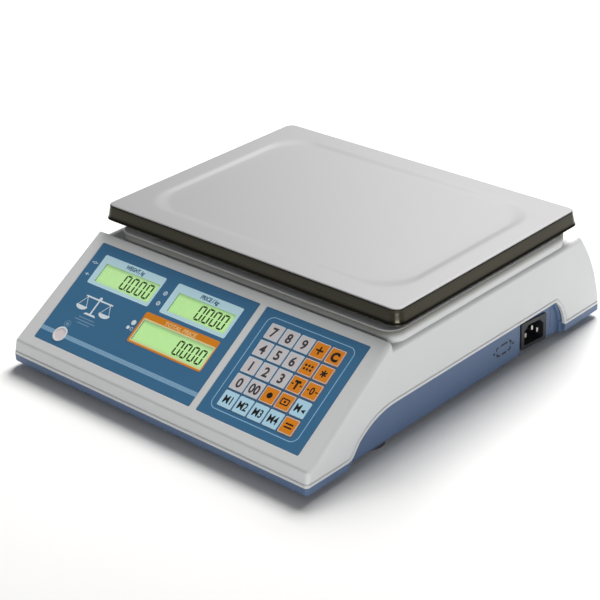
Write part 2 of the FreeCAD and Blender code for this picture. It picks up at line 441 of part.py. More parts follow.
# ---------------------------------------------------------------- level, screws, feet
lv = cyl(LEVEL[0], LEVEL[1], 82.5, 91.2, 7.7).fuse(cyl(LEVEL[0], LEVEL[1], Z_PLINTH, 91.8, 9.5))
lv = lv.cut(cyl(LEVEL[0], LEVEL[1], 91.3, 95, 7.0))
keep("level_vial", one(lv))
ends = {(-146, -160): 25, (146, -160): 25}
keep("case_screws", Part.makeCompound([screw(x, y, Z_BASE + 2.4, 6.8, 2.1, 26, 3.4) for x, y in SCREWS]))
for name, (x, y) in FEET.items():
    pad = cyl(x, y, 0, 4.4, 13.5)
    pad = pad.makeFillet(0.8, [e for e in pad.Edges if e.BoundBox.ZMax < 0.1])
    pad = pad.cut([cyl(x, y, 2.2, 5, 9.2), Part.makeTorus(9.5, 0.7, V(x, y, 0), V(0, 0, 1))])
    keep("foot_pad_" + name, one(pad))
    st = cyl(x, y, 2.5, 5.4, 8.7).fuse([cyl(x, y, 4.7, 7.2, 12.0), cyl(x, y, 7.0, 30.0, 4.0)])
    ks = [Part.makeCylinder(0.9, 4, V(x + 12.5 * math.cos(i * math.pi / 9), y + 12.5 * math.sin(i * math.pi / 9), 4.0), V(0, 0, 1)) for i in range(18)]
    keep("foot_screw_" + name, one(st.cut(ks)))

# ---------------------------------------------------------------- weighing pan
def frustum(ins, z0, z1, flare0, flare1, r):
    a = rrect_wire(PAN_TOP[0] - flare0 + ins, PAN_TOP[1] + flare0 - ins, PAN_TOP[2] - flare0 + ins, PAN_TOP[3] + flare0 - ins, r + flare0, z0)
    b = rrect_wire(PAN_TOP[0] - flare1 + ins, PAN_TOP[1] + flare1 - ins, PAN_TOP[2] - flare1 + ins, PAN_TOP[3] + flare1 - ins, r + flare1, z1)
    return Part.makeLoft([a, b], True, True)
po = frustum(0, Z_SKIRT, Z_PAN, PAN_SKIRT, 0, PAN_R)
po = po.makeFillet(1.6, [e for e in po.Edges if e.BoundBox.ZMin > Z_PAN - 0.05])
sl = PAN_SKIRT / (Z_PAN - Z_SKIRT)
pi = frustum(PAN_T, Z_SKIRT - 4, Z_PAN - PAN_T, PAN_SKIRT + 4 * sl, PAN_T * sl, PAN_R - PAN_T)
pan = po.cut(pi)
d = DISH
slab = rprism(d[0] - 2, d[1] + 2, d[2] - 2, d[3] + 2, d[4] + 2, Z_PAN - d[5] - PAN_T, Z_PAN - PAN_T + 0.4)
dish = rprism(d[0], d[1], d[2], d[3], d[4], Z_PAN - d[5], Z_PAN + 5)
socks = [cyl(x, y, 101.4, Z_PAN - d[5] - PAN_T + 0.3, 11.0).cut(cyl(x, y, 100, Z_PAN - d[5] - PAN_T, 7.8)) for x, y in POSTS]
pan = pan.fuse([slab]).cut(dish).fuse(socks)
keep("pan", one(pan))

# ---------------------------------------------------------------- write
os.makedirs("parts", exist_ok=True)
lo = V(1e9, 1e9, 1e9); hi = V(-1e9, -1e9, -1e9)
for name, s in NODES.items():
    s = s.copy(); s.translate(V(0, -Y_CENTRE, 0))
    check(name, s)
    b = s.BoundBox
    lo = V(min(lo.x, b.XMin), min(lo.y, b.YMin), min(lo.z, b.ZMin)); hi = V(max(hi.x, b.XMax), max(hi.y, b.YMax), max(hi.z, b.ZMax))
    s.exportStep("parts/%s.step" % name)
print("nodes", len(NODES), "box", lo, hi)
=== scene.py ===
import bpy, bmesh, math, random
from mathutils import Vector, Matrix

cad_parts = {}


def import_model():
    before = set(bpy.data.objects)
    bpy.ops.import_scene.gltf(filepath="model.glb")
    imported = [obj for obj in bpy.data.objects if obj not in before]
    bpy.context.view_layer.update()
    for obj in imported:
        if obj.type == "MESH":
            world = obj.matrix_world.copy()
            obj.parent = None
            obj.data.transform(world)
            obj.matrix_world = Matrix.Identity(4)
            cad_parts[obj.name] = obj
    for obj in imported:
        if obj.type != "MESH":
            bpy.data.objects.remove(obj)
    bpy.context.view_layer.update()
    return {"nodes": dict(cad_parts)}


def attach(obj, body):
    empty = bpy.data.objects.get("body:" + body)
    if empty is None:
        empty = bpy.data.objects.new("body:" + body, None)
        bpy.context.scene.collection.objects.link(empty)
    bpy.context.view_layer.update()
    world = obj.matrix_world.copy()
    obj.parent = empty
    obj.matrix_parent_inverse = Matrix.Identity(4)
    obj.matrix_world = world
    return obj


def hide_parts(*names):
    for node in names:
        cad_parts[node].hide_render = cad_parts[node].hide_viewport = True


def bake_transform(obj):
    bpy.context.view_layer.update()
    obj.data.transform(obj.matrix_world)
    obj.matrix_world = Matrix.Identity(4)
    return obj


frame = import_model()
N = frame["nodes"]
random.seed(7)

# ------------------------------------------------------------------ constants
MM = 0.001
YC = 1.4
SL = math.atan2(86.5 - 23.7, -82.8 + 179.3)
CA, SA = math.cos(SL), math.sin(SL)
PO = Vector((0.0, -172.1 - YC, 28.4))
def P(u, v, w=0.0):
    """Panel frame (mm) to the row frame (m)."""
    return Vector((u, PO.y + CA * v - SA * w, PO.z + SA * v + CA * w)) * MM
PM = Matrix(((MM, 0, 0, 0), (0, CA * MM, -SA * MM, PO.y * MM), (0, SA * MM, CA * MM, PO.z * MM), (0, 0, 0, 1)))
FILM = -0.1          # top of the printed films
GLASS = -0.9         # top of the liquid crystal glass
KEYTOP = 0.2

def lin(c):
    c = c / 255.0
    return c / 12.92 if c <= 0.04045 else ((c + 0.055) / 1.055) ** 2.4
def rgb(r, g, b):
    return (lin(r), lin(g), lin(b), 1.0)

# ------------------------------------------------------------------ materials
def new_mat(name):
    m = bpy.data.materials.new(name)
    m.use_nodes = True
    nt = m.node_tree
    b = nt.nodes["Principled BSDF"]
    return m, nt, b

def setv(b, **kw):
    for k, v in kw.items():
        b.inputs[k.replace("_", " ")].default_value = v

def coords(nt, scale=(1, 1, 1), kind="Object"):
    tc = nt.nodes.new("ShaderNodeTexCoord")
    mp = nt.nodes.new("ShaderNodeMapping")
    mp.inputs["Scale"].default_value = scale
    nt.links.new(tc.outputs[kind], mp.inputs["Vector"])
    return mp.outputs["Vector"]

def noise(nt, vec, scale, detail=4.0, rough=0.5):
    n = nt.nodes.new("ShaderNodeTexNoise")
    n.inputs["Scale"].default_value = scale
    n.inputs["Detail"].default_value = detail
    n.inputs["Roughness"].default_value = rough
    nt.links.new(vec, n.inputs["Vector"])
    return n.outputs["Fac"]

def ramp(nt, fac, stops):
    r = nt.nodes.new("ShaderNodeValToRGB")
    e = r.color_ramp.elements
    while len(e) < len(stops):
        e.new(0.5)
    for i, (p, c) in enumerate(stops):
        e[i].position = p
        e[i].color = c
    nt.links.new(fac, r.inputs["Fac"])
    return r.outputs["Color"]

def maprange(nt, fac, a, b, lo=0.3, hi=0.7):
    m = nt.nodes.new("ShaderNodeMapRange")
    m.inputs["From Min"].default_value = lo
    m.inputs["From Max"].default_value = hi
    m.inputs["To Min"].default_value = a
    m.inputs["To Max"].default_value = b
    nt.links.new(fac, m.inputs["Value"])
    return m.outputs["Result"]

def bump(nt, height, strength, dist, normal=None):
    b = nt.nodes.new("ShaderNodeBump")
    b.inputs["Strength"].default_value = strength
    b.inputs["Distance"].default_value = dist
    nt.links.new(height, b.inputs["Height"])
    if normal is not None:
        nt.links.new(normal, b.inputs["Normal"])
    return b.outputs["Normal"]

def bevel(nt, radius):
    b = nt.nodes.new("ShaderNodeBevel")
    b.samples = 4
    b.inputs["Radius"].default_value = radius
    return b.outputs["Normal"]

def shade(c, k):
    return (min(1, c[0] * k), min(1, c[1] * k), min(1, c[2] * k), 1.0)

def plastic(name, col, rough=0.45, grain=1800.0, strength=0.12, vary=0.03, edge=0.0005, spec=0.5, coat=0.0):
    m, nt, b = new_mat(name)
    v = coords(nt)
    big = noise(nt, v, 14.0, 3.0)
    c = ramp(nt, big, [(0.25, shade(col, 1 - vary)), (0.75, shade(col, 1 + vary))])
    nt.links.new(c, b.inputs["Base Color"])
    fine = noise(nt, v, grain, 2.0, 0.6)
    r = maprange(nt, noise(nt, v, 90.0, 3.0), rough - 0.04, rough + 0.05)
    nt.links.new(r, b.inputs["Roughness"])
    nrm = bevel(nt, edge) if edge else None
    nt.links.new(bump(nt, fine, strength, 0.00008, nrm), b.inputs["Normal"])
    setv(b, Specular_IOR_Level=spec, Coat_Weight=coat, Coat_Roughness=0.2)
    return m

def metal(name, col, rough=0.3, brush=(40, 2400, 40), strength=0.08, vary=0.04, edge=0.0003, blotch=6.0, metallic=1.0):
    m, nt, b = new_mat(name)
    v = coords(nt, brush)
    n = noise(nt, v, 1.0, 3.0, 0.6)
    v2 = coords(nt)
    big = noise(nt, v2, blotch, 3.0)
    c = ramp(nt, big, [(0.25, shade(col, 1 - vary)), (0.75, shade(col, 1 + vary))])
    nt.links.new(c, b.inputs["Base Color"])
    nt.links.new(maprange(nt, n, rough - 0.05, rough + 0.07), b.inputs["Roughness"])
    nrm = bevel(nt, edge) if edge else None
    nt.links.new(bump(nt, n, strength, 0.00003, nrm), b.inputs["Normal"])
    setv(b, Metallic=metallic)
    return m

M = {}
M["grey"] = plastic("case_grey", rgb(225, 226, 226), 0.42, 1500, 0.10, 0.012, 0.0007)
def paint_plinth_shade_under_pan(m):
    # painted shade: the step under the pan is coloured darker where the pan shades it, fading out towards the deck
    nt = m.node_tree
    b = nt.nodes["Principled BSDF"]
    src = b.inputs["Base Color"].links[0].from_socket
    sep = nt.nodes.new("ShaderNodeSeparateXYZ")
    tc = nt.nodes.new("ShaderNodeTexCoord")
    nt.links.new(tc.outputs["Object"], sep.inputs[0])
    def step(sock, a, c):
        r = nt.nodes.new("ShaderNodeMapRange")
        r.interpolation_type = "SMOOTHSTEP"
        nt.links.new(sock, r.inputs["Value"])
        for k, val in (("From Min", a), ("From Max", c), ("To Min", 0.0), ("To Max", 1.0)):
            r.inputs[k].default_value = val
        return r.outputs["Result"]
    def mul(p, q):
        x = nt.nodes.new("ShaderNodeMath"); x.operation = "MULTIPLY"
        nt.links.new(p, x.inputs[0]); nt.links.new(q, x.inputs[1])
        return x.outputs[0]
    geo = nt.nodes.new("ShaderNodeNewGeometry")
    sepn = nt.nodes.new("ShaderNodeSeparateXYZ")
    nt.links.new(geo.outputs["True Normal"], sepn.inputs[0])
    # mask of the painted shade: plinth walls above the deck and behind the crest, steep faces only
    f = mul(step(sep.outputs["Z"], 0.0826, 0.0894), step(sep.outputs["Y"], -0.0822, -0.0814))
    f = mul(f, step(sepn.outputs["Z"], 0.75, 0.35))
    mix = nt.nodes.new("ShaderNodeMix"); mix.data_type = "RGBA"
    nt.links.new(f, mix.inputs["Factor"])
    nt.links.new(src, mix.inputs["A"] if "A" in mix.inputs and mix.inputs["A"].type == "RGBA" else mix.inputs[6])
    # colour of the painted shade under the pan
    mix.inputs[7].default_value = rgb(112, 111, 104)
    nt.links.new(mix.outputs[2], b.inputs["Base Color"])
paint_plinth_shade_under_pan(M["grey"])
M["blue"] = plastic("case_blue", rgb(91, 113, 146), 0.42, 1500, 0.10, 0.03, 0.0007)
M["film"] = plastic("film_blue", rgb(65, 117, 156), 0.34, 3500, 0.05, 0.03, 0.0002)
M["kgrey"] = plastic("key_grey", rgb(219, 213, 215), 0.38, 3500, 0.05, 0.01, 0.0002)
M["korange"] = plastic("key_orange", rgb(238, 142, 26), 0.38, 3500, 0.05, 0.02, 0.0002)
M["klight"] = plastic("key_light_blue", rgb(190, 232, 252), 0.38, 3500, 0.05, 0.01, 0.0002)
M["pale"] = plastic("print_pale", rgb(206, 232, 246), 0.4, 3500, 0.03, 0.01, 0)
M["line"] = plastic("print_line", rgb(158, 204, 235), 0.4, 3500, 0.03, 0.01, 0)
M["stripe"] = plastic("print_stripe", rgb(122, 160, 190), 0.4, 3500, 0.03, 0.02, 0)
M["lframe"] = plastic("print_light_frame", rgb(206, 242, 255), 0.36, 3500, 0.03, 0.015, 0)
M["lborder"] = plastic("print_light_border", rgb(208, 244, 246), 0.36, 3500, 0.03, 0.01, 0)
M["oframe"] = plastic("print_orange_frame", rgb(234, 142, 28), 0.36, 3500, 0.03, 0.02, 0)
M["oborder"] = plastic("print_cream_border", rgb(248, 232, 170), 0.36, 3500, 0.03, 0.01, 0)
M["opale"] = plastic("print_cream_text", rgb(250, 205, 140), 0.36, 3500, 0.03, 0.01, 0)
M["ink"] = plastic("print_dark", rgb(62, 60, 66), 0.42, 3500, 0.03, 0.03, 0)
# black print; also used for the knock-out slots, where it is painted shade
M["black_ink_and_slot_shade"] = plastic("print_black_and_painted_slot_shade", rgb(24, 20, 18), 0.42, 3500, 0.03, 0.03, 0)
M["teal_ink"] = plastic("print_teal", rgb(58, 108, 138), 0.42, 3500, 0.03, 0.02, 0)
M["white_ink"] = plastic("print_white", rgb(232, 244, 250), 0.4, 3500, 0.03, 0.01, 0)
M["seg"] = plastic("lcd_segments", rgb(40, 62, 26), 0.3, 3500, 0.02, 0.05, 0)
M["black"] = plastic("black_plastic", rgb(30, 31, 35), 0.35, 1500, 0.15, 0.08, 0.0003)
M["inlet"] = plastic("inlet_plastic", rgb(40, 41, 46), 0.4, 1500, 0.12, 0.05, 0.0003)
M["rubber"] = plastic("black_rubber", rgb(44, 44, 47), 0.75, 900, 0.35, 0.10, 0.0004, 0.3)
M["white"] = plastic("white_plastic", rgb(240, 244, 248), 0.35, 1500, 0.05, 0.01, 0.0003)
M["wax"] = plastic("pale_wax", rgb(240, 226, 228), 0.5, 700, 0.25, 0.02, 0.0003)
M["foot"] = plastic("foot_grey", rgb(72, 74, 84), 0.55, 1200, 0.2, 0.06, 0.0004)
M["pcb"] = plastic("circuit_board", rgb(30, 96, 52), 0.35, 900, 0.08, 0.06, 0.0002)
M["steel"] = metal("pan_steel", rgb(148, 148, 150), 0.5, (2200, 2200, 2200), 0.02, 0.006, 0.0, 3.0, 0.12)
M["steel"].node_tree.nodes["Principled BSDF"].inputs["Specular IOR Level"].default_value = 0.3
# painted reflection: the skirt and hem are the pan's steel coloured near black to stand in for reflected dark
# surroundings
M["skirt"] = metal("pan_skirt_steel_painted_dark_reflection", rgb(66, 64, 55), 0.24, (30, 30, 1600), 0.05, 0.06, 0.0)
M["hem"] = metal("pan_hem_steel_painted_dark_reflection", rgb(72, 70, 61), 0.3, (30, 30, 1600), 0.05, 0.05, 0.0)
M["zinc"] = metal("zinc_steel", rgb(196, 196, 192), 0.32, (300, 300, 300), 0.06, 0.08)
M["alu"] = metal("cell_aluminium", rgb(210, 211, 214), 0.34, (1800, 60, 60), 0.08, 0.04)
M["nickel"] = metal("nickel", rgb(225, 222, 214), 0.15, (200, 200, 200), 0.03, 0.04, 0.0002)
M["core"] = metal("core_steel", rgb(88, 84, 80), 0.5, (80, 2200, 80), 0.4, 0.12)

def lcd_mat():
    m, nt, b = new_mat("lcd_green")
    v = coords(nt)
    big = noise(nt, v, 9.0, 1.0)
    c = ramp(nt, big, [(0.25, rgb(172, 220, 142)), (0.75, rgb(182, 222, 156))])
    nt.links.new(c, b.inputs["Base Color"])
    nt.links.new(c, b.inputs["Emission Color"])
    setv(b, Emission_Strength=0.46, Specular_IOR_Level=0.5, Coat_Weight=0.6, Coat_Roughness=0.08)
    nt.links.new(maprange(nt, noise(nt, v, 300.0), 0.22, 0.3), b.inputs["Roughness"])
    nt.links.new(bump(nt, noise(nt, v, 4000.0), 0.03, 0.00002), b.inputs["Normal"])
    return m
M["lcd"] = lcd_mat()

def vial_mat():
    m, nt, b = new_mat("vial_clear")
    v = coords(nt)
    c = ramp(nt, noise(nt, v, 60.0), [(0.3, rgb(206, 232, 120)), (0.7, rgb(222, 240, 150))])
    nt.links.new(c, b.inputs["Base Color"])
    setv(b, Transmission_Weight=0.7, IOR=1.45)
    nt.links.new(maprange(nt, noise(nt, v, 400.0), 0.05, 0.12), b.inputs["Roughness"])
    return m
M["vial"] = vial_mat()

def assign(node, key):
    me = N[node].data
    me.materials.clear()
    me.materials.append(M[key])

CAD_MATS = {"upper_case": "grey", "lower_case": "blue", "battery_door": "blue", "display_overlay": "film", "keypad_overlay": "film",
            "keypad_circuit": "pcb", "display_board": "pcb", "main_board": "pcb", "lcd_weight": "lcd", "lcd_price": "lcd", "lcd_total": "lcd",
            "seal_cup": "white", "load_cell_base": "zinc", "load_cell": "alu", "cell_base_screws": "zinc", "cell_top_screws": "zinc",
            "pan_spider": "zinc", "pan_posts": "rubber", "pan": "steel", "battery": "black", "transformer": "core", "mains_inlet": "inlet",
            "inlet_pins": "nickel", "switch_frame": "black", "power_rocker": "black", "level_vial": "vial", "case_screws": "zinc"}
for n in N:
    if n in CAD_MATS: assign(n, CAD_MATS[n])
    elif n.startswith("foot_pad"): assign(n, "foot")
    elif n.startswith("foot_screw"): assign(n, "black")

# ------------------------------------------------------------------ mesh helpers
def obj(name, me, mats):
    o = bpy.data.objects.new(name, me)
    bpy.context.scene.collection.objects.link(o)
    for k in mats:
        me.materials.append(M[k])
    return o

class Builder:
    """Collects flat printed shapes (thin closed prisms) in the panel frame."""
    def __init__(self):
        self.bm = bmesh.new()
    def prism(self, loop, w0, w1, mat=0):
        bm = self.bm
        lo = [bm.verts.new(P(u, v, w0)) for u, v in loop]
        hi = [bm.verts.new(P(u, v, w1)) for u, v in loop]
        f = [bm.faces.new(hi), bm.faces.new(list(reversed(lo)))]
        n = len(loop)
        for i in range(n):
            j = (i + 1) % n
            f.append(bm.faces.new((lo[i], lo[j], hi[j], hi[i])))
        for x in f: x.material_index = mat
    def ring(self, a, b, w0, w1, mat=0):
        """Closed ring between the outer loop a and the inner loop b (same count)."""
        bm = self.bm
        A0 = [bm.verts.new(P(u, v, w0)) for u, v in a]; A1 = [bm.verts.new(P(u, v, w1)) for u, v in a]
        B0 = [bm.verts.new(P(u, v, w0)) for u, v in b]; B1 = [bm.verts.new(P(u, v, w1)) for u, v in b]
        n = len(a)
        for i in range(n):
            j = (i + 1) % n
            for q in ((A1[i], A1[j], B1[j], B1[i]), (A0[j], A0[i], B0[i], B0[j]), (A0[i], A0[j], A1[j], A1[i]), (B0[j], B0[i], B1[i], B1[j])):
                bm.faces.new(q).material_index = mat
    def text(self, s, u, v, size, w0, w1, mat=0, sx=1.0, shear=0.0, bold=0.0):
        """Generic lettering centred on (u, v); size is the height of a digit in mm."""
        c = bpy.data.curves.new("t", "FONT")
        c.body = s
        c.align_x = "CENTER"
        c.size = 1.0
        c.resolution_u = 3
        c.offset = bold
        c.extrude = 0.5
        c.shear = shear
        o = bpy.data.objects.new("t", c)
        bpy.context.scene.collection.objects.link(o)
        bpy.context.view_layer.update()
        me = bpy.data.meshes.new_from_object(o.evaluated_get(bpy.context.evaluated_depsgraph_get()))
        ys = [q.co.y for q in me.vertices]; xs = [q.co.x for q in me.vertices]
        if ys:
            h = 0.729  # cap height per unit size
            k = size / h
            cx, cy = 0.5 * (min(xs) + max(xs)), 0.5 * (min(ys) + max(ys)) if len(s) == 1 and not s.isalnum() else h / 2
            vs = []
            for q in me.vertices:
                vs.append(self.bm.verts.new(P(u + (q.co.x - cx) * k * sx, v + (q.co.y - cy) * k, w1 if q.co.z > 0 else w0)))
            for p in me.polygons:
                try:
                    self.bm.faces.new([vs[i] for i in p.vertices]).material_index = mat
                except ValueError:
                    pass
        bpy.data.objects.remove(o)
        bpy.data.meshes.remove(me)
    def done(self, name, mats, body):
        bmesh.ops.remove_doubles(self.bm, verts=self.bm.verts, dist=1e-7)
        bmesh.ops.recalc_face_normals(self.bm, faces=self.bm.faces)
        me = bpy.data.meshes.new(name)
        self.bm.to_mesh(me); self.bm.free()
        o = obj(name, me, mats)
        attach(o, body)
        return o

def rr(u0, u1, v0, v1, r, n=6):
    out = []
    for cx, cy, a0 in ((u1 - r, v0 + r, -90), (u1 - r, v1 - r, 0), (u0 + r, v1 - r, 90), (u0 + r, v0 + r, 180)):
        for i in range(n + 1):
            a = math.radians(a0 + 90 * i / n)
            out.append((cx + r * math.cos(a), cy + r * math.sin(a)))
    return out
def disc(u, v, r, n=40, ry=None):
    return [(u + r * math.cos(2 * math.pi * i / n), v + (ry or r) * math.sin(2 * math.pi * i / n)) for i in range(n)]
def bar(u0, v0, u1, v1, t):
    dx, dy = u1 - u0, v1 - v0; l = math.hypot(dx, dy); nx, ny = -dy / l * t / 2, dx / l * t / 2
    return [(u0 - nx, v0 - ny), (u1 - nx, v1 - ny), (u1 + nx, v1 + ny), (u0 + nx, v0 + ny)]

# ------------------------------------------------------------------ display film prints
T0, T1, T2 = FILM - 0.02, FILM + 0.018, FILM + 0.03
def lcd_frame(b, o, w, frame_mat, border_mat, rad):
    """Frame print around a window: outer box o, window w, thin bright border."""
    e = 1.2
    b.ring(rr(o[0], o[1], o[2], o[3], rad), rr(w[0] - e, w[1] + e, w[2] - e, w[3] + e, 1.1), T0, T1, frame_mat)
    b.ring(rr(w[0] - e, w[1] + e, w[2] - e, w[3] + e, 1.1), rr(w[0] + 0.02, w[1] - 0.02, w[2] + 0.02, w[3] - 0.02, 0.4), T0, T2, border_mat)

LCD = {"lcd_weight": (-125.4, -63.1, 63.4, 81.2), "lcd_price": (-41.3, 20.3, 63.4, 81.2), "lcd_total": (-54.9, 21.0, 30.5, 49.7)}
b = Builder()
lcd_frame(b, (-132.0, -61.0, 60.1, 88.4), LCD["lcd_weight"], 0, 1, 1.6)
lcd_frame(b, (-47.7, 23.5, 59.9, 88.6), LCD["lcd_price"], 0, 1, 1.6)
b.text("WEIGHT, kg", -94.5, 85.1, 3.6, T1, T1 + 0.015, 2, 0.80, 0.15, 0.04)
b.text("PRICE / kg", -10.6, 85.1, 3.6, T1, T1 + 0.015, 2, 0.90, 0.15, 0.04)
b.done("print_display_frames", ["lframe", "lborder", "teal_ink"], "case")
b = Builder()
lcd_frame(b, (-57.9, 23.0, 27.8, 56.6), LCD["lcd_total"], 0, 1, 1.8)
b.text("TOTAL PRICE", -17.6, 53.3, 3.6, T1, T1 + 0.015, 2, 1.15, 0.15, 0.035)
b.done("print_total_frame", ["oframe", "oborder", "opale"], "case")

# seven-segment figures on the glass
def seg_digit(b, u, v, w, h, t=1.3, lean=0.05, on="abcdef", mat=0):
    """One figure; (u, v) is its lower left corner."""
    g = 0.32; z0, z1 = GLASS - 0.02, GLASS + 0.03
    X = lambda x, y: (u + x + lean * y, v + y)
    c = 1.1
    segs = {
        "a": [(c, h), (w - c, h), (w - t * 0.75, h - t * 0.62), (w - t - 0.5, h - t), (t + 0.5, h - t), (t * 0.75, h - t * 0.62)],
        "d": [(c, 0), (t * 0.75, t * 0.62), (t + 0.5, t), (w - t - 0.5, t), (w - t * 0.75, t * 0.62), (w - c, 0)],
    }
    m = h / 2
    segs["f"] = [(0, m + g + 0.5), (0, h - c), (0.45, h - 0.5), (t, h - t - 0.35), (t, m + g + 0.1), (t * 0.5, m + g)]
    segs["e"] = [(0, m - g - 0.5), (t * 0.5, m - g), (t, m - g - 0.1), (t, t + 0.35), (0.45, 0.5), (0, c)]
    segs["b"] = [(w - x, y) for x, y in segs["f"]][::-1]
    segs["c"] = [(w - x, y) for x, y in segs["e"]][::-1]
    segs["g"] = [(t * 0.75, m), (t + 0.3, m + t / 2), (w - t - 0.3, m + t / 2), (w - t * 0.75, m), (w - t - 0.3, m - t / 2), (t + 0.3, m - t / 2)]
    for k in on:
        b.prism([X(x, y) for x, y in segs[k]], z0, z1, mat)

for name, u0, pitch, w, v0, h in (("lcd_weight", -100.0, 8.62, 6.5, 65.2, 13.9), ("lcd_price", -15.1, 8.1, 6.4, 65.2, 13.8), ("lcd_total", -12.9, 8.0, 6.2, 32.4, 13.6)):
    b = Builder()
    for i in range(4):
        seg_digit(b, u0 + i * pitch, v0, w, h, 1.5)
    b.prism(disc(u0 + pitch - (pitch - w) / 2, v0 + 0.55, 0.55, 16), GLASS - 0.02, GLASS + 0.03, 0)
    b.done("figures_" + name[4:], ["seg"], "case")

# stripe with three fine lines and cross ticks, broken by the seal cup
b = Builder()
sv0, sv1 = 8.7, 12.7
for ua, ub in ((-143.2, -128.2), (-114.2, 33.5)):
    b.prism([(ua, sv0), (ub, sv0), (ub, sv1), (ua, sv1)], T0, FILM + 0.012, 0)
    for k in range(3):
        vv = sv0 + 0.75 + k * 1.25
        b.prism(bar(ua + 0.02, vv, ub - 0.02, vv, 0.28), FILM + 0.004, FILM + 0.022, 1)
    x = ua + 0.6
    while x < ub - 0.4:
        b.prism([(x, sv0 + 0.3), (x + 0.25, sv0 + 0.3), (x + 0.25, sv1 - 0.3), (x, sv1 - 0.3)], FILM + 0.002, FILM + 0.017, 1)
        x += 1.25
b.done("print_stripe", ["stripe", "line"], "case")

# generic marks: indicator symbols beside the windows, balance pictogram
b = Builder()
def ring_mark(u, v, r, t):
    b.ring(disc(u, v, r), disc(u, v, r - t), T0, T1, 0)
def arrow_zero(u, v):
    ring_mark(u, v, 1.25, 0.42)
    b.prism([(u - 3.4, v - 0.25), (u - 2.2, v - 0.25), (u - 2.2, v - 0.8), (u - 1.5, v), (u - 2.2, v + 0.8), (u - 2.2, v + 0.25), (u - 3.4, v + 0.25)], T0, T1, 0)
    b.prism([(u + 3.4, v + 0.25), (u + 2.2, v + 0.25), (u + 2.2, v + 0.8), (u + 1.5, v), (u + 2.2, v - 0.8), (u + 2.2, v - 0.25), (u + 3.4, v - 0.25)], T0, T1, 0)
arrow_zero(-137.4, 78.4)
b.prism(bar(-139.6, 66.8, -135.2, 66.8, 0.5), T0, T1, 0); b.prism([(-137.4 - 0.25, 65.2), (-137.4 + 0.25, 65.2), (-137.4 + 0.25, 68.4), (-137.4 - 0.25, 68.4)], T0 + 0.001, T1 + 0.002, 0)
ring_mark(-53.2, 76.2, 1.9, 0.75); b.prism(bar(-54.1, 76.2, -52.3, 76.2, 0.5), T0, T1, 0)
ring_mark(-53.4, 66.3, 1.9, 0.75); b.prism(disc(-53.4, 66.3, 0.5, 12), T0, T1, 0)
b.prism(disc(-62.6, 43.8, 2.3), T0, T1, 0)
b.prism(disc(-64.9, 38.4, 1.6), T0, T1, 0); ring_mark(-60.8, 38.2, 1.5, 0.35)
b.done("print_marks", ["white_ink"], "case")
b = Builder()
cu, cv = -107.0, 43.5        # balance pictogram, plain bars and dishes
b.prism([(cu - 0.9, cv - 7.5), (cu + 0.9, cv - 7.5), (cu + 0.7, cv + 7.0), (cu - 0.7, cv + 7.0)], T0, T1, 0)
b.prism([(cu - 7.0, cv - 9.3), (cu + 7.0, cv - 9.3), (cu + 5.0, cv - 7.5), (cu - 5.0, cv - 7.5)], T0, T1, 0)
b.prism([(cu - 15.5, cv + 5.4), (cu + 15.5, cv + 5.4), (cu + 15.5, cv + 6.8), (cu - 15.5, cv + 6.8)], T0, T1 + 0.003, 0)
b.prism(disc(cu, cv + 7.6, 1.6, 24), T0, T1, 0)
for s in (-1, 1):
    x = cu + s * 13.2
    b.prism(bar(x, cv + 5.4, x - 5.0, cv - 3.4, 0.55), T0, T1, 0); b.prism(bar(x, cv + 5.4, x + 5.0, cv - 3.4, 0.55), T0, T1, 0)
    n = 14
    b.prism([(x - 6.2, cv - 3.2)] + [(x - 6.2 * math.cos(math.pi * i / n), cv - 3.4 - 3.6 * math.sin(math.pi * i / n)) for i in range(1, n)] + [(x + 6.2, cv - 3.2)], T0, T1 + 0.002, 0)
for k, l in enumerate((9.0, 11.5, 7.0)):
    b.prism(bar(cu - l, cv - 12.6 - k * 2.6, cu + l, cv - 12.6 - k * 2.6, 0.9), T0, T1, 1)
b.ring(disc(-121.1, 21.0, 3.4), disc(-121.1, 21.0, 2.9), T0, T1, 1)
b.prism(disc(-121.1, 21.0, 1.7, 24), T0, T1, 1)
b.done("print_pictogram", ["white_ink", "stripe"], "case")
b = Builder()
b.prism(disc(-121.2, 10.8, 5.1, 48), -0.3, 0.06, 0)
b.done("seal_filling", ["wax"], "case")

# load cell: its free end goes down with the platform, the other end stays on the base; here the cell mesh is only
# copied and sliced along its length
me = N["load_cell"].data.copy()
me.name = "load_cell_beam"
bm = bmesh.new(); bm.from_mesh(me)
for i in range(-7, 8):
    bmesh.ops.bisect_plane(bm, geom=bm.verts[:] + bm.edges[:] + bm.faces[:], plane_co=(i * 0.004, 0, 0), plane_no=(1, 0, 0), dist=1e-6)
bm.to_mesh(me); bm.free()
o = bpy.data.objects.new("load_cell_beam", me)
bpy.context.scene.collection.objects.link(o)
me.materials.clear(); me.materials.append(M["alu"])
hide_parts("load_cell")
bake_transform(o)

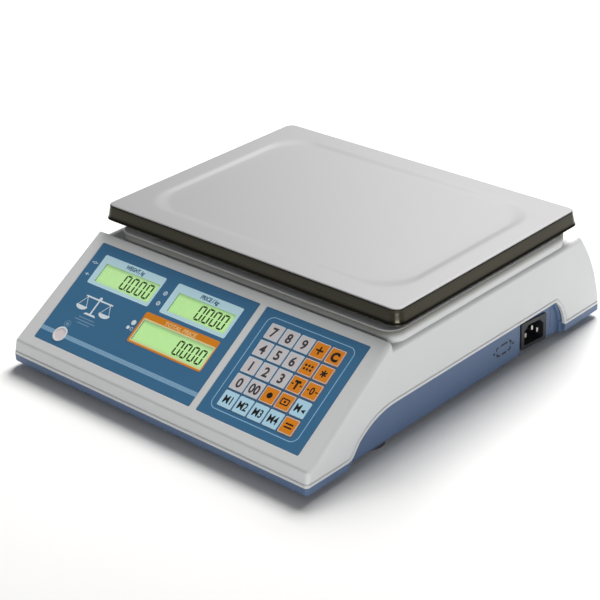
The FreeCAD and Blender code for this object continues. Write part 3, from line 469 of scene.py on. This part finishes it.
# slots of the moulded knock-out beside the inlet, drawn as thin black prisms: painted shade inside the slots
bm = bmesh.new()
KY, KZ, KX = 58.0 - YC, 19.8, 154.0
def slot(loop):
    lo = [bm.verts.new(Vector((KX - 0.5, y, z)) * MM) for y, z in loop]
    hi = [bm.verts.new(Vector((KX + 0.03, y, z)) * MM) for y, z in loop]
    bm.faces.new(hi); bm.faces.new(list(reversed(lo)))
    for i in range(len(loop)):
        j = (i + 1) % len(loop)
        bm.faces.new((lo[i], lo[j], hi[j], hi[i]))
def stroke(pts, t=1.7):
    for (a, c), (d, e) in zip(pts[:-1], pts[1:]):
        slot([(KY + p, KZ + q) for p, q in bar(a, c, d, e, t)])
for pts in (((-3.6, 4.0), (4.9, 4.0)), ((7.6, 4.1), (9.4, 3.6), (9.6, 1.3)), ((-7.2, 4.1), (-9.0, 3.5), (-9.3, 1.4)), ((9.1, -1.5), (8.3, -3.6), (6.0, -4.0)),
            ((-9.0, -1.4), (-8.2, -3.6), (-5.0, -4.0)), ((-2.0, -4.0), (3.2, -4.0))):
    stroke(pts)
for s_ in (-1, 1):
    slot([(KY + s_ * 12.5 + 1.15 * math.cos(2 * math.pi * i / 20), KZ + 1.15 * math.sin(2 * math.pi * i / 20)) for i in range(20)])
bmesh.ops.recalc_face_normals(bm, faces=bm.faces)
me = bpy.data.meshes.new("connector_slots_painted_shade"); bm.to_mesh(me); bm.free()
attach(obj("connector_slots_painted_shade", me, ["black_ink_and_slot_shade"]), "case")

# keypad frame line
b = Builder()
b.ring(rr(48.3, 135.2, 6.7, 91.6, 6.6, 12), rr(48.95, 134.55, 7.35, 90.95, 5.95, 12), T0, T1, 0)
b.done("print_keypad_line", ["line"], "case")

# ------------------------------------------------------------------ keys
names = [["key_7", "key_8", "key_9", "key_add", "key_clear"], ["key_4", "key_5", "key_6", "key_count", "key_multiply"],
         ["key_1", "key_2", "key_3", "key_tare", "key_zero"], ["key_0", "key_00", "key_point", "key_change", "key_preset"],
         ["key_memory_1", "key_memory_2", "key_memory_3", "key_memory_4", "key_unit"]]
LIGHT = {"key_preset", "key_memory_1", "key_memory_2", "key_memory_3", "key_memory_4"}
W0, W1 = KEYTOP - 0.02, KEYTOP + 0.022
for r, row in enumerate(names):
    for c, name in enumerate(row):
        u0 = 54.4 + c * 15.1; v0 = 72.8 - r * 15.6
        cu, cv = u0 + 6.85, v0 + 6.9
        digit = name[4:].isdigit()
        kind = "kgrey" if digit else "klight" if name in LIGHT else "korange"
        assign(name, kind)
        b = Builder()
        b.ring(rr(u0 + 0.24, u0 + 13.46, v0 + 0.24, v0 + 13.56, 0.8), rr(u0 + 0.72, u0 + 12.98, v0 + 0.72, v0 + 13.08, 0.6), W0, KEYTOP + 0.014, 1)
        T = lambda s, size, sx=1.0, bold=0.02, du=0, dv=0: b.text(s, cu + du, cv + dv, size, W0, W1, 0, sx, 0.0, bold)
        if digit:
            T(name[4:], 8.2, 0.95 if name != "key_00" else 0.84, 0.03)
        elif name == "key_add":
            b.prism(bar(cu - 3.4, cv, cu + 3.4, cv, 1.5), W0, W1, 0); b.prism(bar(cu, cv - 3.4, cu, cv + 3.4, 1.5), W0, W1 + 0.001, 0)
        elif name == "key_clear":
            T("C", 7.4, 0.95, 0.06)
        elif name == "key_count":
            for i in range(3):
                for j in range(2):
                    b.prism(disc(cu - 3.0 + i * 3.0, cv - 1.6 + j * 3.2, 1.05, 20), W0, W1, 0)
        elif name == "key_multiply":
            for i in range(3):
                a = math.radians(90 + 60 * i); dx, dy = 3.1 * math.cos(a), 3.1 * math.sin(a)
                b.prism(bar(cu - dx, cv - dy, cu + dx, cv + dy, 1.3), W0, W1 + 0.001 * i, 0)
        elif name in ("key_tare", "key_zero"):
            if name == "key_tare":
                T("T", 7.0, 0.85, 0.06)
            else:
                b.ring([(cu + 1.9 * math.cos(t), cv + 3.2 * math.sin(t)) for t in [2 * math.pi * i / 36 for i in range(36)]], [(cu + 0.75 * math.cos(t), cv + 1.9 * math.sin(t)) for t in [2 * math.pi * i / 36 for i in range(36)]], W0, W1, 0)
            for s in (-1, 1):
                b.prism([(cu + s * 5.6, cv - 0.3), (cu + s * 4.2, cv - 0.3), (cu + s * 4.2, cv - 1.0), (cu + s * 2.7, cv), (cu + s * 4.2, cv + 1.0), (cu + s * 4.2, cv + 0.3), (cu + s * 5.6, cv + 0.3)][::s], W0, W1, 0)
        elif name == "key_point":
            b.prism(disc(cu, cv, 2.5, 36), W0, W1, 0)
        elif name == "key_change":
            b.ring(rr(cu - 3.9, cu + 3.9, cv - 2.8, cv + 2.8, 0.9), rr(cu - 2.9, cu + 2.9, cv - 1.8, cv + 1.8, 0.5), W0, W1, 0)
            b.prism(disc(cu, cv, 1.05, 20), W0, W1, 0)
        elif name == "key_preset":
            T("M", 6.8, 0.80, 0.02, -2.2)
            b.prism([(cu + 1.3, cv - 1.2), (cu + 4.9, cv - 3.0), (cu + 4.9, cv + 0.6)], W0, W1, 0)
        elif name.startswith("key_memory"):
            T("M" + name[-1], 6.8, 0.80, 0.02)
        elif name == "key_unit":
            b.prism(bar(cu - 3.6, cv + 1.4, cu + 3.6, cv + 1.4, 1.3), W0, W1, 0); b.prism(bar(cu - 3.6, cv - 1.4, cu + 3.6, cv - 1.4, 1.3), W0, W1, 0)
        b.done("legend_" + name[4:], ["ink" if digit else "black_ink_and_slot_shade", "pale"], name)

# ------------------------------------------------------------------ weighing pan
def pan_piece():
    X0, X1, Y0, Y1 = -155.0, 155.0, -74.2 - YC, 152.1 - YC
    def loop(ins, z, r, k=10, m=8):
        x0, x1, y0, y1 = X0 + ins, X1 - ins, Y0 + ins, Y1 - ins
        pts = []
        corners = ((x1 - r, y0 + r, -90), (x1 - r, y1 - r, 0), (x0 + r, y1 - r, 90), (x0 + r, y0 + r, 180))
        for ci, (cx, cy, a0) in enumerate(corners):
            for i in range(k + 1):
                a = math.radians(a0 + 90 * i / k)
                pts.append((cx + r * math.cos(a), cy + r * math.sin(a), z))
            nx, ny, na = corners[(ci + 1) % 4]
            s = pts[-1]; a = math.radians(na)
            e = (nx + r * math.cos(a), ny + r * math.sin(a), z)
            for i in range(1, m):
                pts.append((s[0] + (e[0] - s[0]) * i / m, s[1] + (e[1] - s[1]) * i / m, z))
        return pts
    T = 1.2
    prof = []                                 # (inset, z, corner radius, material)
    zt, zs = 107.4, 94.8
    sl = 2.5 / (zt - zs)
    prof.append((-2.5, zs + 0.25, 9.4, 2))
    prof.append((-2.5 + sl * 0.5, zs + 0.75, 9.3, 2))
    prof.append((-2.5 + sl * 0.7 + 0.05, zs + 0.85, 9.3, 1))
    R = 1.7
    a0 = math.degrees(math.atan(sl))
    for i in range(5):
        z = zs + 0.85 + (zt - R + R * math.sin(math.radians(a0)) - zs - 0.85) * (i + 1) / 5
        ins = R - R * math.cos(math.radians(a0)) + (zt - R + R * math.sin(math.radians(a0)) - z) * -sl
        prof.append((ins, z, 7.0 + 2.4 * (zt - z) / (zt - zs), 1))
    for i in range(1, 9):
        a = math.radians(a0 + (90 - a0) * i / 8)
        prof.append((R - R * math.cos(a), zt - R + R * math.sin(a), 7.0 - 0.5 * i / 8, 0 if i > 3 else 1))
    prof.append((4.0, zt, 9, 0)); prof.append((9.0, zt, 15, 0)); prof.append((15.0, zt, 23, 0))
    n = 10
    for i in range(n + 1):
        s = i / n
        prof.append((18.5 + 9.0 * s, zt - 1.0 * (s * s * (3 - 2 * s)), 28.5 + 6.5 * s, 0))
    prof.append((36, zt - 1.0, 36, 0)); prof.append((60, zt - 1.0, 30, 0)); prof.append((90, zt - 1.0, 18, 0))
    top_n = len(prof)
    under = [(90, zt - 1.0 - T, 18, 0), (36, zt - 1.0 - T, 36, 0)]
    for i in range(n, -1, -2):
        s = i / n
        under.append((18.5 + 9.0 * s, zt - T - 1.0 * (s * s * (3 - 2 * s)), 28.5 + 6.5 * s, 0))
    under += [(9.0, zt - T, 14, 0), (3.2, zt - T, 7.0, 0), (1.6, zt - T - 0.6, 6.4, 0), (1.25, zt - 2.6, 6.3, 0), (-2.5 + T, zs + 0.3, 8.3, 1), (-2.5 + T * 0.75, zs, 8.6, 2), (-2.5 + T * 0.3, zs, 9.1, 2)]
    bm = bmesh.new()
    rings = []
    for ins, z, r, mt in prof + under:
        rings.append(([bm.verts.new(Vector(p) * MM) for p in loop(ins, z, r)], mt))
    cnt = len(rings[0][0])
    def bridge(a, b2, mt):
        for i in range(cnt):
            j = (i + 1) % cnt
            bm.faces.new((a[i], a[j], b2[j], b2[i])).material_index = mt
    for i in range(top_n - 1):
        bridge(rings[i][0], rings[i + 1][0], rings[i + 1][1])
    for i in range(top_n, len(rings) - 1):
        bridge(rings[i][0], rings[i + 1][0], rings[i + 1][1])
    bridge(rings[-1][0], rings[0][0], 2)
    bm.faces.new(rings[top_n - 1][0]).material_index = 0
    bm.faces.new(list(reversed(rings[top_n][0]))).material_index = 0
    # locating cups under the pan
    zc1 = zt - 1.0 - T + 0.1
    for sx in (-1, 1):
        for sy in (-1, 1):
            cx, cy = sx * 118.0, 38.95 - YC + sy * 75.0
            m2 = 40
            L = []
            for rad, z in ((7.8, zc1), (7.8, 101.9), (8.2, 101.4), (10.6, 101.4), (11.0, 101.9), (11.0, zc1)):
                L.append([bm.verts.new(Vector((cx + rad * math.cos(2 * math.pi * i / m2), cy + rad * math.sin(2 * math.pi * i / m2), z)) * MM) for i in range(m2)])
            for q in range(6):
                A, B = L[q], L[(q + 1) % 6]
                for i in range(m2):
                    j = (i + 1) % m2
                    bm.faces.new((A[i], A[j], B[j], B[i]))
    bmesh.ops.recalc_face_normals(bm, faces=bm.faces)
    me = bpy.data.meshes.new("weighing_pan")
    bm.to_mesh(me); bm.free()
    me.polygons.foreach_set("use_smooth", [True] * len(me.polygons))
    me.set_sharp_from_angle(angle=math.radians(32))
    o = obj("weighing_pan", me, ["steel", "skirt", "hem"])
    return o
pan = pan_piece()
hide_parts("pan")
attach(pan, "pan")

# ------------------------------------------------------------------ stage, light, camera
def stage_floor():
    me = bpy.data.meshes.new("floor")
    bm = bmesh.new()
    s = 6.0
    vs = [bm.verts.new((x, y, 0)) for x, y in ((-s, -s), (s, -s), (s, s), (-s, s))]
    bm.faces.new(vs); bm.to_mesh(me); bm.free()
    m, nt, b = new_mat("floor")
    v = coords(nt)
    nt.links.new(ramp(nt, noise(nt, v, 3.0), [(0.3, (0.90, 0.90, 0.90, 1)), (0.7, (0.92, 0.92, 0.92, 1))]), b.inputs["Base Color"])
    setv(b, Roughness=0.9, Specular_IOR_Level=0.1)
    o = bpy.data.objects.new("floor", me)
    bpy.context.scene.collection.objects.link(o)
    me.materials.append(m)
stage_floor()

def area(name, loc, target, size, power, col=(1, 1, 1)):
    l = bpy.data.lights.new(name, "AREA")
    l.shape = "RECTANGLE"; l.size = size[0]; l.size_y = size[1]
    l.energy = power; l.color = col
    o = bpy.data.objects.new(name, l)
    bpy.context.scene.collection.objects.link(o)
    o.location = loc
    o.rotation_euler = (Vector(target) - Vector(loc)).to_track_quat("-Z", "Y").to_euler()
    return o
area("key", (-0.42, 1.24, 1.60), (0, 0, 0.05), (1.2, 1.2), 74.0, (1.0, 0.992, 0.98))
area("fill", (1.90, -1.62, 0.30), (0, 0, 0.06), (1.4, 0.45), 20.5, (0.97, 0.985, 1.0))

w = bpy.data.worlds.new("studio")
bpy.context.scene.world = w
w.use_nodes = True
bg = w.node_tree.nodes["Background"]
bg.inputs["Color"].default_value = (1, 1, 1, 1)
bg.inputs["Strength"].default_value = 0.12

sc = bpy.context.scene
sc.view_settings.view_transform = "Standard"
sc.view_settings.look = "None"
sc.view_settings.exposure = 0.0

right = Vector((0.7419139, 0.66964124, -0.03382849))
down = Vector((0.28270682, -0.3581703, -0.88982633))
fwd = Vector((-0.60798077, 0.65061098, -0.45504367))
cam = bpy.data.cameras.new("camera")
cam.sensor_width = 36.0
cam.lens = 1771.6317673880985 / 600.0 * 36.0
cam.clip_start = 0.05; cam.clip_end = 20
co = bpy.data.objects.new("camera", cam)
sc.collection.objects.link(co)
co.matrix_world = Matrix(((right.x, -down.x, -fwd.x, 0.8745209758), (right.y, -down.y, -fwd.y, -0.94630656844 - YC * MM), (right.z, -down.z, -fwd.z, 0.69626459057), (0, 0, 0, 1)))
sc.camera = co
